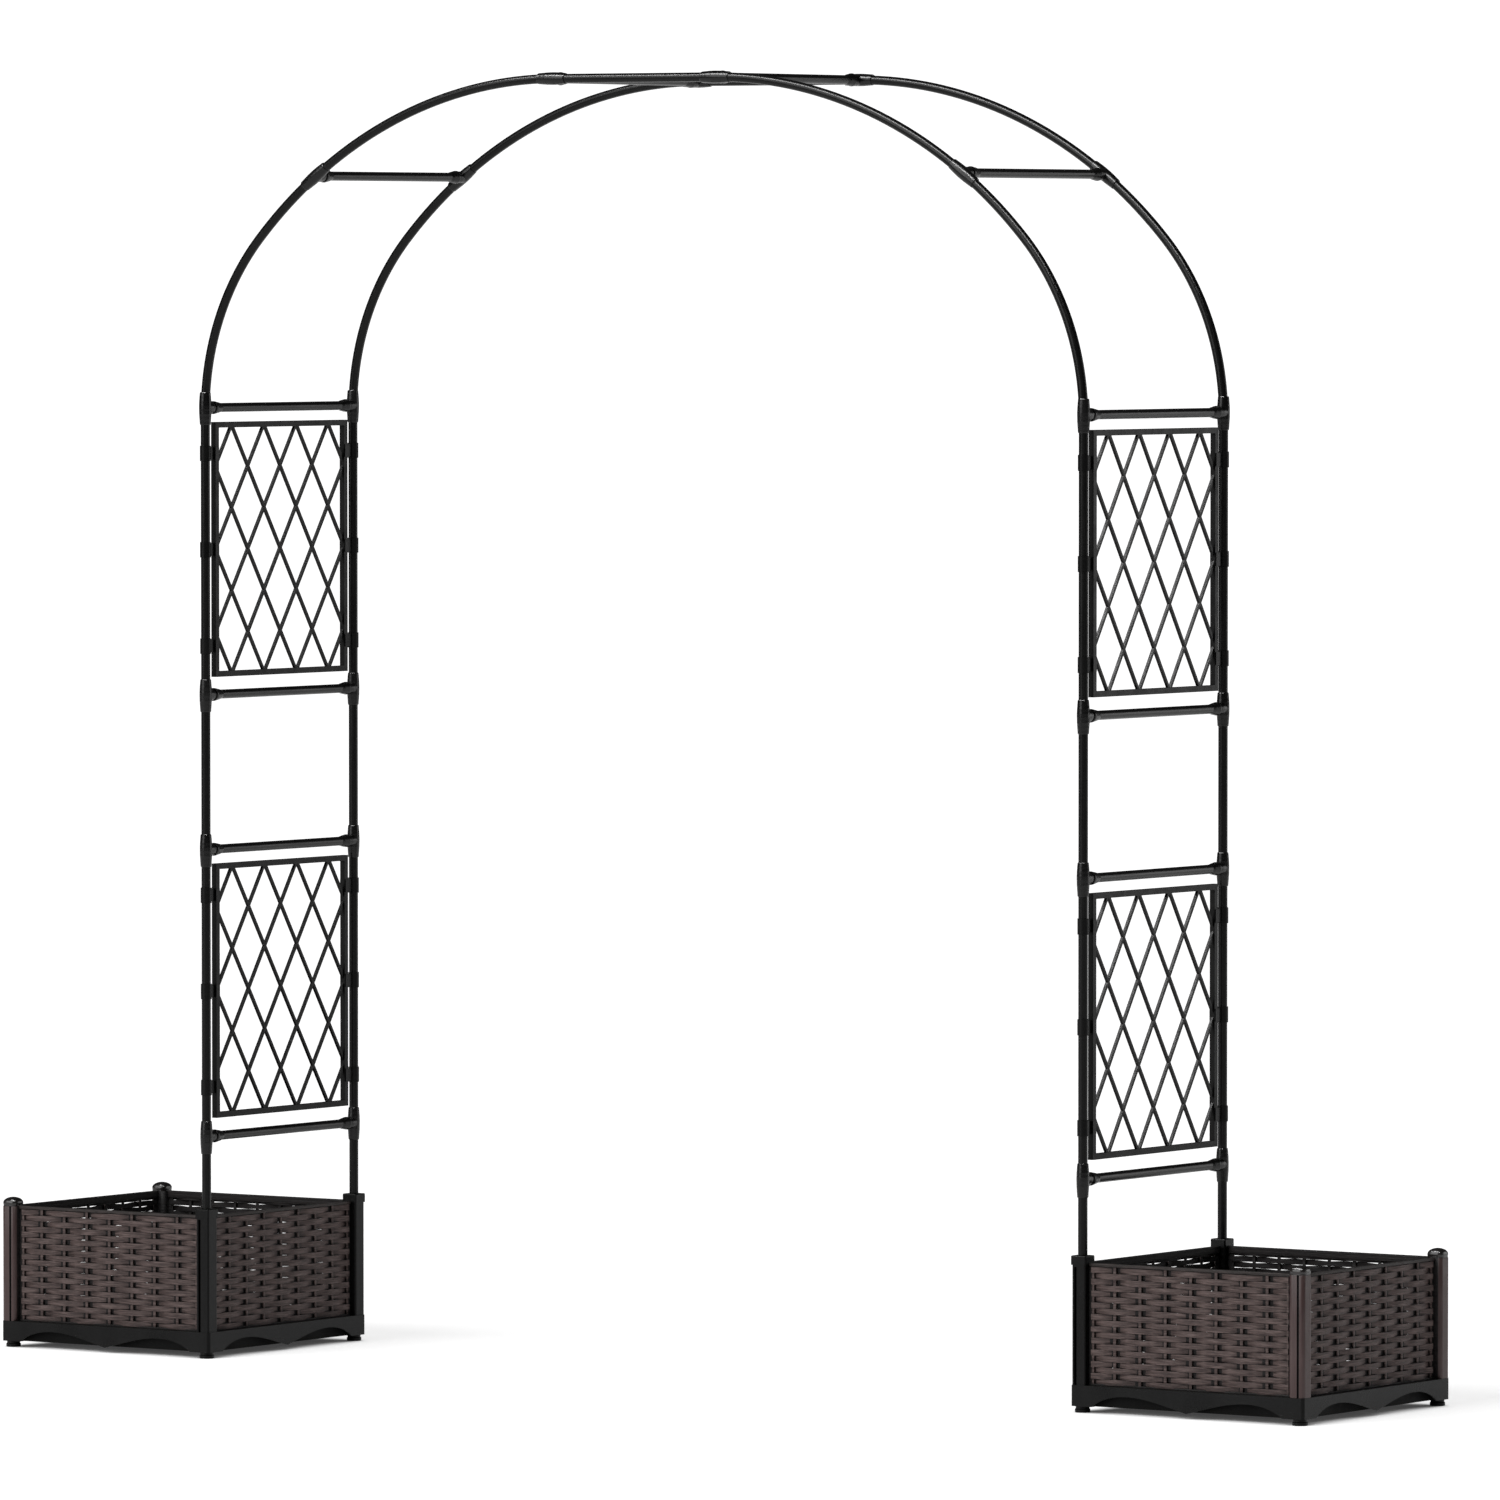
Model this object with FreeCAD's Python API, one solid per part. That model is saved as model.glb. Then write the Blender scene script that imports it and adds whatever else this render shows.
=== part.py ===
import FreeCAD, Part
import os
from math import cos, sin, radians, degrees, hypot

# Garden trellis arch with two square planters.
# Frame: +X across the walkway, -Y the front, +Z up.
# Origin: on the ground, at the centre of the walkway. All sizes in mm.

# --- arch frame -----------------------------------------------------------
TUBE_R = 8.0                 # 16 mm tube
TUBE_WALL = 1.0
POST_X = 910.0               # post axis, half of the clear width plus a tube
POST_Y = 218.0               # half the distance between the two arches
FOOT_TUBE_Z = 60.0           # bottom end of the tube inside its socket
LEVEL_1 = 388.0              # heights of the four crossbars on each side
LEVEL_2 = 889.5
LEVEL_3 = 1160.0
LEVEL_4 = 1660.5
TUBE_GAP = 5.0               # tube end to the middle of its connector

# each half arch is a tight arc, then a wide arc, then a straight top tube
SPRING_Z = 1653.5
TIGHT_R = 442.4
TIGHT_ANGLE = 42.7
WIDE_R = 850.2
MID_ANGLE = 53.8             # where the wide arc carries its tee, from +X

# --- tee connectors -------------------------------------------------------
TEE_UP = 27.0
TEE_DOWN = 30.0
TEE_R = 10.9
TEE_END_R = 9.5
STUB_END = 18.4
SPIGOT_END = 32.0

# --- crossbars ------------------------------------------------------------
CUP_START = 19.4             # from the post axis
CUP_END = 42.0
CUP_R = 11.4

# --- lattice panels -------------------------------------------------------
PANEL_GAP = 23.2             # post axis to the outer edge of the panel
PANEL_DROP = 25.0            # crossbar axis down to the panel's top edge
PANEL_H = 445.0
RAIL = 10.0
BAR = 5.0
DIAMONDS_WIDE = 4
DIAMONDS_HIGH = 3
CLIP_H = 26.6
CLIP_R = 9.6
CLIP_STEP = 168.0

# --- planters -------------------------------------------------------------
PLANTER_X = 1123.0           # centre of each planter
CORNER_X = 213.0             # corner axes from the planter's centre
CORNER_Y = POST_Y
OVERHANG = 15.0              # base edge outside the corner axes
FOOT_H = 10.8
FOOT_R = 13.0
SKIRT_TOP = 46.0
SKIRT_T = 3.0
PAN_INSET = 14.0
PAN_FLOOR = 18.0
BLOCK = 41.0
SCALLOP_RISE = 19.8
CUSP_DROP = 2.2
SOCKET_W = 26.6
SOCKET_TOP = 246.5
SLOT_W = 5.0
SLOT_D = 5.0
SLOT_X = -6.0
BROWN_W = 30.0
BROWN_R = 8.0                # big rounded corners
BROWN_TOP = 249.0
GROOVE_W = 3.4
GROOVE_D = 3.4
GROOVE_X = 4.4
COLLAR_W = 30.0
COLLAR_TOP = 262.0
CAP_W = 31.0
CAP_R = 9.0
CAP_TOP = 265.0
CAP_DOME_R = 23.0

# --- woven panels ---------------------------------------------------------
PANEL_TOP = 250.0
RIM_H = 6.0
RIM_T = 9.0
ROWS = 20
ROW_FIRST = 47.4
ROW_PITCH = 9.83
STRIP_H = 9.4
STRIP_T = 2.2
WEAVE = 2.4                  # how far a strip stands off the middle plane
STAKE_W = 6.0
STAKE_T = 3.0
COLUMNS = 8
END_GAP = 6.0                # bare tongue between the weave and a corner post
END_STAKE = 4.5

V = FreeCAD.Vector
UP = V(0, 0, 1)
TOP_X = POST_X - TIGHT_R + (TIGHT_R - WIDE_R) * cos(radians(TIGHT_ANGLE))
WIDE_Z = SPRING_Z + (TIGHT_R - WIDE_R) * sin(radians(TIGHT_ANGLE))
TOP_Z = WIDE_Z + WIDE_R


def save(shape, node):
    shape.exportStep("parts/" + node + ".step")


def joined(pieces):
    solid = pieces[0].multiFuse(pieces[1:])
    return solid.removeSplitter()


def box(x0, x1, y0, y1, z0, z1):
    return Part.makeBox(x1 - x0, y1 - y0, z1 - z0, V(x0, y0, z0))


def moved(shape, x, y, z):
    copy = shape.copy()
    copy.translate(V(x, y, z))
    return copy


def turned(shape, axis, angle):
    copy = shape.copy()
    copy.rotate(V(0, 0, 0), axis, angle)
    return copy


def mirrored_x(shape):
    return shape.mirror(V(0, 0, 0), V(1, 0, 0))


def rounded_square(width, radius, z0, z1):
    half = width / 2
    block = box(-half, half, -half, half, z0, z1)
    corners = [e for e in block.Edges if abs(e.tangentAt(e.FirstParameter).z) > 0.9]
    return block.makeFillet(radius, corners)


def turned_profile(points):
    """Solid of revolution about Z from (radius, height) points."""
    wire = Part.makePolygon([V(r, 0, z) for r, z in points])
    return Part.Face(wire).revolve(V(0, 0, 0), UP, 360)


# --- tubes of the arch ----------------------------------------------------

def rod(x, z0, z1, radius):
    return Part.makeCylinder(radius, z1 - z0, V(x, 0, z0))


def bend(cx, cz, big_r, start, end, radius):
    """Round bar along an arc in the XZ plane, angles from +X towards +Z."""
    disc = Part.Face(Part.Wire(Part.makeCircle(radius, V(big_r, 0, 0), UP)))
    disc = turned(disc, V(0, -1, 0), start)
    disc.translate(V(cx, 0, cz))
    return disc.revolve(V(cx, 0, cz), V(0, -1, 0), end - start)


def tight_bend(start, end, radius):
    return bend(POST_X - TIGHT_R, SPRING_Z, TIGHT_R, start, end, radius)


def wide_bend(start, end, radius):
    return bend(TOP_X, WIDE_Z, WIDE_R, start, end, radius)


def side_tube(z0, z1, radius):
    return rod(POST_X, z0, z1, radius)


def lower_arc(radius):
    rise = degrees((LEVEL_4 + TUBE_GAP - SPRING_Z) / TIGHT_R)
    stop = degrees(TUBE_GAP / WIDE_R)
    first = tight_bend(rise, TIGHT_ANGLE, radius)
    second = wide_bend(TIGHT_ANGLE, MID_ANGLE - stop, radius)
    return joined([first, second])


def upper_arc(radius):
    stop = degrees(TUBE_GAP / WIDE_R)
    return wide_bend(MID_ANGLE + stop, 90 - stop, radius)


def top_bar(radius):
    half = TOP_X - TUBE_GAP
    return Part.makeCylinder(radius, 2 * half, V(-half, 0, TOP_Z), V(1, 0, 0))


def hollow(make, *sizes):
    outer = make(*sizes, TUBE_R)
    inner = make(*sizes, TUBE_R - TUBE_WALL)
    return outer.cut(inner)


RUNS = [
    ("foot", FOOT_TUBE_Z, LEVEL_1 - TUBE_GAP),
    ("lower", LEVEL_1 + TUBE_GAP, LEVEL_2 - TUBE_GAP),
    ("middle", LEVEL_2 + TUBE_GAP, LEVEL_3 - TUBE_GAP),
    ("upper", LEVEL_3 + TUBE_GAP, LEVEL_4 - TUBE_GAP),
]
CORNERS = [("left", "front"), ("left", "rear"), ("right", "front"), ("right", "rear")]


def placed(shape, side, face):
    """Right-hand shape at y = 0 moved to its side and its arch."""
    y = -POST_Y if face == "front" else POST_Y
    if side == "left":
        shape = mirrored_x(shape)
    return moved(shape, 0, y, 0)


def make_tubes():
    straight = {name: hollow(side_tube, z0, z1) for name, z0, z1 in RUNS}
    lower = hollow(lower_arc)
    upper = hollow(upper_arc)
    for side, face in CORNERS:
        tag = side + "_" + face
        for name in straight:
            save(placed(straight[name], side, face), "tube_" + name + "_" + tag)
        save(placed(lower, side, face), "arc_lower_" + tag)
        save(placed(upper, side, face), "arc_upper_" + tag)
    top = hollow(top_bar)
    save(moved(top, 0, -POST_Y, 0), "tube_top_front")
    save(moved(top, 0, POST_Y, 0), "tube_top_rear")


# --- crossbars ------------------------------------------------------------

def crossbar():
    """Tube along Y with a flared cup at each end, bored right through."""
    half = POST_Y
    profile = [(TUBE_R - TUBE_WALL, -half + CUP_START)]
    profile += [(CUP_R - 0.8, -half + CUP_START), (CUP_R, -half + CUP_START + 1.5)]
    profile += [(CUP_R, -half + CUP_START + 4.5), (9.4, -half + CUP_END - 6)]
    profile += [(TUBE_R, -half + CUP_END), (TUBE_R, half - CUP_END)]
    profile += [(9.4, half - CUP_END + 6), (CUP_R, half - CUP_START - 4.5)]
    profile += [(CUP_R, half - CUP_START - 1.5), (CUP_R - 0.8, half - CUP_START)]
    profile += [(TUBE_R - TUBE_WALL, half - CUP_START)]
    profile += [(TUBE_R - TUBE_WALL, -half + CUP_START)]
    return turned(turned_profile(profile), V(1, 0, 0), -90)


def mid_point():
    x = TOP_X + WIDE_R * cos(radians(MID_ANGLE))
    z = WIDE_Z + WIDE_R * sin(radians(MID_ANGLE))
    return x, z


def make_crossbars():
    bar = crossbar()
    levels = [LEVEL_1, LEVEL_2, LEVEL_3, LEVEL_4]
    mid_x, mid_z = mid_point()
    for side, sign in (("left", -1), ("right", 1)):
        for number, z in enumerate(levels, 1):
            save(moved(bar, sign * POST_X, 0, z), "crossbar_" + side + "_" + str(number))
        save(moved(bar, sign * mid_x, 0, mid_z), "crossbar_" + side + "_arch")
        save(moved(bar, sign * TOP_X, 0, TOP_Z), "crossbar_" + side + "_top")


# --- tee connectors -------------------------------------------------------

def tee_blank():
    """Barrel along Z with a short branch and a spigot along +Y."""
    barrel = turned_profile([
        (0, -TEE_DOWN), (TEE_END_R - 0.6, -TEE_DOWN), (TEE_END_R, -TEE_DOWN + 1),
        (10.1, -20), (10.7, -11), (TEE_R, -2), (TEE_R, 4), (10.6, 12), (10.0, 20),
        (TEE_END_R, TEE_UP - 1), (TEE_END_R - 0.6, TEE_UP), (0, TEE_UP), (0, -TEE_DOWN)])
    stub = turned_profile([
        (0, 0), (10.6, 0), (10.4, 12), (9.9, STUB_END - 1), (9.4, STUB_END),
        (TUBE_R - TUBE_WALL, STUB_END), (TUBE_R - TUBE_WALL, SPIGOT_END - 1.5),
        (5.6, SPIGOT_END), (0, SPIGOT_END), (0, 0)])
    stub = turned(stub, V(1, 0, 0), -90)
    return joined([barrel, stub])


def tee(blank, angle, x, z, sockets):
    """Right-hand front tee at y = 0, bored for the tubes that enter it."""
    body = moved(turned(blank, V(0, 1, 0), -angle), x, 0, z)
    for socket in sockets:
        body = body.cut(socket)
    return body


def make_tees():
    blank = tee_blank()
    solid = {name: side_tube(z0, z1, TUBE_R) for name, z0, z1 in RUNS}
    lower = lower_arc(TUBE_R)
    upper = upper_arc(TUBE_R)
    mid_x, mid_z = mid_point()
    side = [
        tee(blank, 0, POST_X, LEVEL_1, [solid["foot"], solid["lower"]]),
        tee(blank, 0, POST_X, LEVEL_2, [solid["lower"], solid["middle"]]),
        tee(blank, 0, POST_X, LEVEL_3, [solid["middle"], solid["upper"]]),
        tee(blank, 0, POST_X, LEVEL_4, [solid["upper"], lower]),
    ]
    arch = [
        tee(blank, MID_ANGLE, mid_x, mid_z, [lower, upper]),
        tee(blank, 90, TOP_X, TOP_Z, [upper, top_bar(TUBE_R)]),
    ]
    save(four_corners(side), "tee_connectors_sides")
    save(four_corners(arch), "tee_connectors_arch")


def four_corners(right_front):
    """Copies for the other three corners; the branch always points inward."""
    solids = []
    for shape in right_front:
        front = moved(shape, 0, -POST_Y, 0)
        rear = front.mirror(V(0, 0, 0), V(0, 1, 0))
        solids += [front, rear, mirrored_x(front), mirrored_x(rear)]
    return Part.makeCompound(solids)


# --- lattice panels -------------------------------------------------------

def slanted_bar(y0, z0, y1, z1):
    """Square bar between two points of the YZ plane."""
    length = hypot(y1 - y0, z1 - z0)
    side_y = -(z1 - z0) / length * BAR / 2
    side_z = (y1 - y0) / length * BAR / 2
    ring = [
        V(-BAR / 2, y0 + side_y, z0 + side_z), V(-BAR / 2, y1 + side_y, z1 + side_z),
        V(-BAR / 2, y1 - side_y, z1 - side_z), V(-BAR / 2, y0 - side_y, z0 - side_z)]
    face = Part.Face(Part.makePolygon(ring + ring[:1]))
    return face.extrude(V(BAR, 0, 0))


def lattice_lines(width, height):
    """Falling lines of the diamond grid, from the top rail and one stile."""
    step_y = width / DIAMONDS_WIDE
    step_z = height / DIAMONDS_HIGH
    slope = step_z / step_y
    starts = [((i + 0.5) * step_y, 0.0) for i in range(DIAMONDS_WIDE)]
    starts += [(0.0, (j + 0.5) * step_z) for j in range(DIAMONDS_HIGH)]
    lines = []
    for y, drop in starts:
        run = min(width - y, (height - drop) / slope)
        lines.append((y, drop, y + run, drop + run * slope))
    return lines


def lattice_panel():
    """Panel in the plane x = 0, centred on y = 0, top edge at z = 0."""
    half = POST_Y - PANEL_GAP
    outer = box(-RAIL / 2, RAIL / 2, -half, half, -PANEL_H, 0)
    inner = box(-RAIL, RAIL, -half + RAIL, half - RAIL, -PANEL_H + RAIL, -RAIL)
    frame = outer.cut(inner)
    width = 2 * half - RAIL
    height = PANEL_H - RAIL
    bars = []
    for y0, z0, y1, z1 in lattice_lines(width, height):
        y0 = y0 - width / 2
        y1 = y1 - width / 2
        bars.append(slanted_bar(y0, -RAIL / 2 - z0, y1, -RAIL / 2 - z1))
        bars.append(slanted_bar(-y0, -RAIL / 2 - z0, -y1, -RAIL / 2 - z1))
    grid = joined(bars).common(box(-RAIL, RAIL, -half + 2, half - 2, -PANEL_H + 2, -2))
    return joined([frame, grid])


def panel_clip():
    """Ring round the post at y = 0, with a bridge and a jaw on the stile."""
    low = -CLIP_H / 2
    ring = Part.makeCylinder(CLIP_R, CLIP_H, V(0, 0, low))
    bridge = box(-2.6, 2.6, 0, PANEL_GAP, low + 2.5, -low - 2.5)
    wrap = RAIL / 2 + 1.4
    jaw = box(-wrap, wrap, PANEL_GAP - 1.6, PANEL_GAP + RAIL - 1.5, low + 2, -low - 2)
    stile = box(-RAIL / 2, RAIL / 2, PANEL_GAP, PANEL_GAP + RAIL, -50, 50)
    bore = Part.makeCylinder(TUBE_R, 100, V(0, 0, -50))
    return joined([ring, bridge, jaw]).cut(stile).cut(bore)


def make_panels():
    panel = lattice_panel()
    clip = panel_clip()
    tops = (("lower", LEVEL_2 - PANEL_DROP), ("upper", LEVEL_4 - PANEL_DROP))
    for side, sign in (("left", -1), ("right", 1)):
        clips = []
        for name, top in tops:
            save(moved(panel, sign * POST_X, 0, top), "lattice_panel_" + side + "_" + name)
            for step in (-CLIP_STEP, 0, CLIP_STEP):
                z = top - PANEL_H / 2 + step
                front = moved(clip, sign * POST_X, -POST_Y, z)
                clips += [front, front.mirror(V(0, 0, 0), V(0, 1, 0))]
        save(Part.makeCompound(clips), "panel_clips_" + side)


# --- planter base ---------------------------------------------------------

def rounded_plate(hx, hy, radius, z0, z1):
    plate = box(-hx, hx, -hy, hy, z0, z1)
    corners = [e for e in plate.Edges if abs(e.tangentAt(e.FirstParameter).z) > 0.9]
    return plate.makeFillet(radius, corners)


def scallop_cutter(length, depth):
    """Two arches between the corner blocks, meeting in a low centre cusp."""
    half = length / 2
    low = FOOT_H
    start = -half + BLOCK
    crown = start + 0.42 * (0 - start)
    curve = Part.BSplineCurve()
    curve.interpolate([
        V(start, 0, low), V(start + 0.2 * (crown - start), 0, low + 0.47 * SCALLOP_RISE),
        V(crown, 0, low + SCALLOP_RISE), V(crown * 0.45, 0, low + 0.52 * SCALLOP_RISE),
        V(0, 0, low - CUSP_DROP + 0.3)])
    arch = curve.toShape()
    points = [arch.Vertexes[-1].Point, V(0, 0, low - 20), V(start, 0, low - 20)]
    points.append(arch.Vertexes[0].Point)
    wire = Part.Wire([arch] + Part.makePolygon(points).Edges)
    cutter = Part.Face(wire).extrude(V(0, depth, 0))
    return [cutter, mirrored_x(cutter)]


def planter_base():
    """Black base: scalloped skirt, corner blocks, inner pan and four feet."""
    hx = CORNER_X + OVERHANG
    hy = CORNER_Y + OVERHANG
    low = FOOT_H - CUSP_DROP
    skirt = rounded_plate(hx, hy, 6, low, SKIRT_TOP)
    void = box(-hx + SKIRT_T, hx - SKIRT_T, -hy + SKIRT_T, hy - SKIRT_T, 0, SKIRT_TOP - 3)
    pan = box(-hx + PAN_INSET, hx - PAN_INSET, -hy + PAN_INSET, hy - PAN_INSET,
              FOOT_H, SKIRT_TOP)
    wall = PAN_INSET + SKIRT_T
    soil = box(-hx + wall, hx - wall, -hy + wall, hy - wall, PAN_FLOOR + 3, 100)
    under = box(-hx + wall, hx - wall, -hy + wall, hy - wall, 0, PAN_FLOOR)
    blocks = [box(a, a + BLOCK, b, b + BLOCK, FOOT_H, SKIRT_TOP)
              for a in (-hx, hx - BLOCK) for b in (-hy, hy - BLOCK)]
    keep = rounded_plate(hx, hy, 6, 0, SKIRT_TOP)
    shell = skirt.cut(void)
    for cutter in scallop_cutter(2 * hx, 8):
        shell = shell.cut(moved(cutter, 0, -hy - 2, 0))
        shell = shell.cut(moved(cutter, 0, hy - 6, 0))
    for cutter in scallop_cutter(2 * hy, 8):
        side = turned(cutter, UP, 90)
        shell = shell.cut(moved(side, hx + 2, 0, 0))
        shell = shell.cut(moved(side, -hx + 6, 0, 0))
    lip = [box(a, a + BLOCK, b, b + BLOCK, 0, FOOT_H)
           for a in (-hx, hx - BLOCK) for b in (-hy, hy - BLOCK)]
    for piece in lip:
        shell = shell.cut(piece)
    body = joined([shell, pan] + blocks).common(keep)
    body = body.cut(soil).cut(under)
    neck = FOOT_R - 1.4
    feet = [moved(turned_profile([(0, 0), (FOOT_R - 0.8, 0), (FOOT_R, 1.2), (FOOT_R, 5.4),
                                  (neck, 6.6), (neck, 16), (0, 16), (0, 0)]), a, b, 0)
            for a in (-CORNER_X, CORNER_X) for b in (-CORNER_Y, CORNER_Y)]
    return joined([body] + feet)


# --- planter corners ------------------------------------------------------

def socket_post():
    """Black post that takes the foot of the arch; slotted front face."""
    post = rounded_square(SOCKET_W, 3.2, SKIRT_TOP, SOCKET_TOP)
    face = -SOCKET_W / 2
    slot = box(SLOT_X - SLOT_W / 2, SLOT_X + SLOT_W / 2, face - 1, face + SLOT_D,
               SKIRT_TOP - 1, SOCKET_TOP - 3.5)
    bore = Part.makeCylinder(TUBE_R, 400, V(0, 0, FOOT_TUBE_Z))
    return post.cut(slot).cut(bore)


def socket_collar():
    collar = rounded_square(COLLAR_W, 3, SOCKET_TOP, COLLAR_TOP)
    top = [e for e in collar.Edges if e.BoundBox.ZMin > COLLAR_TOP - 0.1]
    collar = collar.makeFillet(2, top)
    return collar.cut(Part.makeCylinder(TUBE_R, 400, V(0, 0, 0)))


def brown_post():
    """Brown corner post with a groove down its front face, off its middle."""
    post = rounded_square(BROWN_W, BROWN_R, SKIRT_TOP, BROWN_TOP)
    face = -BROWN_W / 2
    groove = box(GROOVE_X - GROOVE_W / 2, GROOVE_X + GROOVE_W / 2, face - 1, face + GROOVE_D,
                 SKIRT_TOP - 1, BROWN_TOP + 1)
    return post.cut(groove)


def brown_cap():
    block = rounded_square(CAP_W, CAP_R, BROWN_TOP, CAP_TOP)
    dome = Part.makeSphere(CAP_DOME_R, V(0, 0, CAP_TOP - CAP_DOME_R))
    return block.common(dome)


def corner_set(front, at_x):
    """One shape at the four corners that share the given post column."""
    rear = turned(front, UP, 180)
    solids = []
    for sign in (-1, 1):
        solids.append(moved(front, sign * at_x, -POST_Y, 0))
        solids.append(moved(rear, sign * at_x, POST_Y, 0))
    return Part.makeCompound(solids)


def make_corners():
    outer_x = PLANTER_X + CORNER_X
    save(corner_set(socket_post(), POST_X), "socket_posts")
    save(corner_set(socket_collar(), POST_X), "socket_collars")
    save(corner_set(brown_post(), outer_x), "corner_posts")
    save(corner_set(brown_cap(), outer_x), "corner_caps")


# --- woven panels ---------------------------------------------------------

def strip(low, high, pitch, row):
    """One flat strip along X, in front of every other stake."""
    half_flat = 10.0
    middle = []
    for k in range(-COLUMNS // 2, COLUMNS // 2 + 1):
        side = -WEAVE if (k + row) % 2 else WEAVE
        for s in (k * pitch - half_flat, k * pitch + half_flat):
            middle.append((s, side))
    middle = [(s, y) for s, y in middle if low + 1 < s < high - 1]
    middle = [(low, middle[0][1])] + middle + [(high, middle[-1][1])]
    near = [V(s, y - STRIP_T / 2, 0) for s, y in middle]
    far = [V(s, y + STRIP_T / 2, 0) for s, y in reversed(middle)]
    face = Part.Face(Part.makePolygon(near + far + near[:1]))
    z = ROW_FIRST + row * ROW_PITCH
    return moved(face.extrude(V(0, 0, STRIP_H)), 0, 0, z)


def woven_panel(low, high, pitch, notches):
    """Moulded weave along X, notched at its top corners for the caps."""
    half = STAKE_T / 2
    first = low + END_GAP
    last = high - END_GAP
    pieces = [strip(first, last, pitch, row) for row in range(ROWS)]
    for k in range(-COLUMNS // 2 + 1, COLUMNS // 2):
        pieces.append(box(k * pitch - STAKE_W / 2, k * pitch + STAKE_W / 2, -half, half,
                          SKIRT_TOP, PANEL_TOP - 2))
    for tongue, stake in ((low, first), (last, last - END_STAKE)):
        pieces.append(box(tongue, tongue + END_GAP, -half, half, SKIRT_TOP, PANEL_TOP))
        pieces.append(box(stake, stake + END_STAKE, -2.6, 2.6, SKIRT_TOP, PANEL_TOP))
    pieces.append(box(low, high, -half, half, SKIRT_TOP, SKIRT_TOP + 4))
    pieces.append(box(low, high, -RIM_T / 2, RIM_T / 2, PANEL_TOP - RIM_H, PANEL_TOP))
    panel = joined(pieces)
    for x0, x1, z in notches:
        panel = panel.cut(box(x0, x1, -RIM_T, RIM_T, z, PANEL_TOP + 1))
    return panel


def make_woven():
    socket = SOCKET_W / 2
    brown = BROWN_W / 2
    pitch_x = (2 * CORNER_X - socket - brown) / COLUMNS
    pitch_y = (2 * CORNER_Y - 2 * brown) / COLUMNS
    collar = COLLAR_W / 2
    cap = CAP_W / 2
    near = -CORNER_X + socket
    far = CORNER_X - brown
    notches = [(near - 1, -CORNER_X + collar, SOCKET_TOP), (CORNER_X - cap, far + 1, BROWN_TOP)]
    along_x = woven_panel(near, far, pitch_x, notches)
    end = CORNER_Y - brown
    notches = [(s * CORNER_Y - cap, s * CORNER_Y + cap, BROWN_TOP) for s in (-1, 1)]
    outer = woven_panel(-end, end, pitch_y, notches)
    end = CORNER_Y - socket
    notches = [(s * CORNER_Y - collar, s * CORNER_Y + collar, SOCKET_TOP) for s in (-1, 1)]
    inner = woven_panel(-end, end, pitch_y, notches)
    front = moved(along_x, PLANTER_X, -CORNER_Y, 0)
    rear = front.mirror(V(0, 0, 0), V(0, 1, 0))
    save(front, "woven_right_front")
    save(rear, "woven_right_rear")
    save(mirrored_x(front), "woven_left_front")
    save(mirrored_x(rear), "woven_left_rear")
    outer = moved(turned(outer, UP, 90), PLANTER_X + CORNER_X, 0, 0)
    inner = moved(turned(inner, UP, -90), PLANTER_X - CORNER_X, 0, 0)
    save(outer, "woven_right_outer")
    save(inner, "woven_right_inner")
    save(mirrored_x(outer), "woven_left_outer")
    save(mirrored_x(inner), "woven_left_inner")


def make_bases():
    base = planter_base()
    save(moved(base, PLANTER_X, 0, 0), "planter_base_right")
    save(moved(base, -PLANTER_X, 0, 0), "planter_base_left")


os.makedirs("parts", exist_ok=True)
make_tubes()
make_crossbars()
make_tees()
make_panels()
make_bases()
make_corners()
make_woven()
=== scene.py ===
import bpy
import bmesh
import math
import random
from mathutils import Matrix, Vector


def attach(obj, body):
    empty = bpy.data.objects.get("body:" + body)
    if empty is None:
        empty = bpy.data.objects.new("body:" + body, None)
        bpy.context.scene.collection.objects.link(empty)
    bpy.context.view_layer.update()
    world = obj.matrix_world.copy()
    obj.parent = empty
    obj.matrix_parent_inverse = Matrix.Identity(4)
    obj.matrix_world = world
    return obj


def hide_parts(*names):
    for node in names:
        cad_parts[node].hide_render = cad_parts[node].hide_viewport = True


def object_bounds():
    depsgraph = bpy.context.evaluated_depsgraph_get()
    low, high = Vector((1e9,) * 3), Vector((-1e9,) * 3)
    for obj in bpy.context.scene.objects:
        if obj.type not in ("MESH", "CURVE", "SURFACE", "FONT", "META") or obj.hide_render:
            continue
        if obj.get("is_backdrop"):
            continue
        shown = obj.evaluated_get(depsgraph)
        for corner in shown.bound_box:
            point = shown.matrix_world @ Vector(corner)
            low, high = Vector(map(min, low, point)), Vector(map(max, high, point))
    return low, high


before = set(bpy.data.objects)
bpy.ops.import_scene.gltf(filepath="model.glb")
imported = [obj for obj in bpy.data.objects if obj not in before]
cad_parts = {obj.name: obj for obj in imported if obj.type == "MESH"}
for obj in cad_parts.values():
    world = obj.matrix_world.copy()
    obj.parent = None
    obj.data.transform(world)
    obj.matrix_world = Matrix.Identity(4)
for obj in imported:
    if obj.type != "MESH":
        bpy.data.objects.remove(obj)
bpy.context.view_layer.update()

MM = 0.001

# Planter layout, shared by the materials and the detailed pieces.
PLANTER_X = 1.123           # centre of each planter
CORNER = 0.213              # corner axes from the planter's centre, along X
CORNER_Y = 0.218            # and along Y
BASE_EDGE = 0.015           # base edge outside the corner axes
# Fade of the painted shade on the base's pan, inside the skirt.
PAN_SHADE_FADE = (4 * MM, 11 * MM)


# --- materials -------------------------------------------------------------
# Each one is a small node tree built from shared steps.

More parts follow.
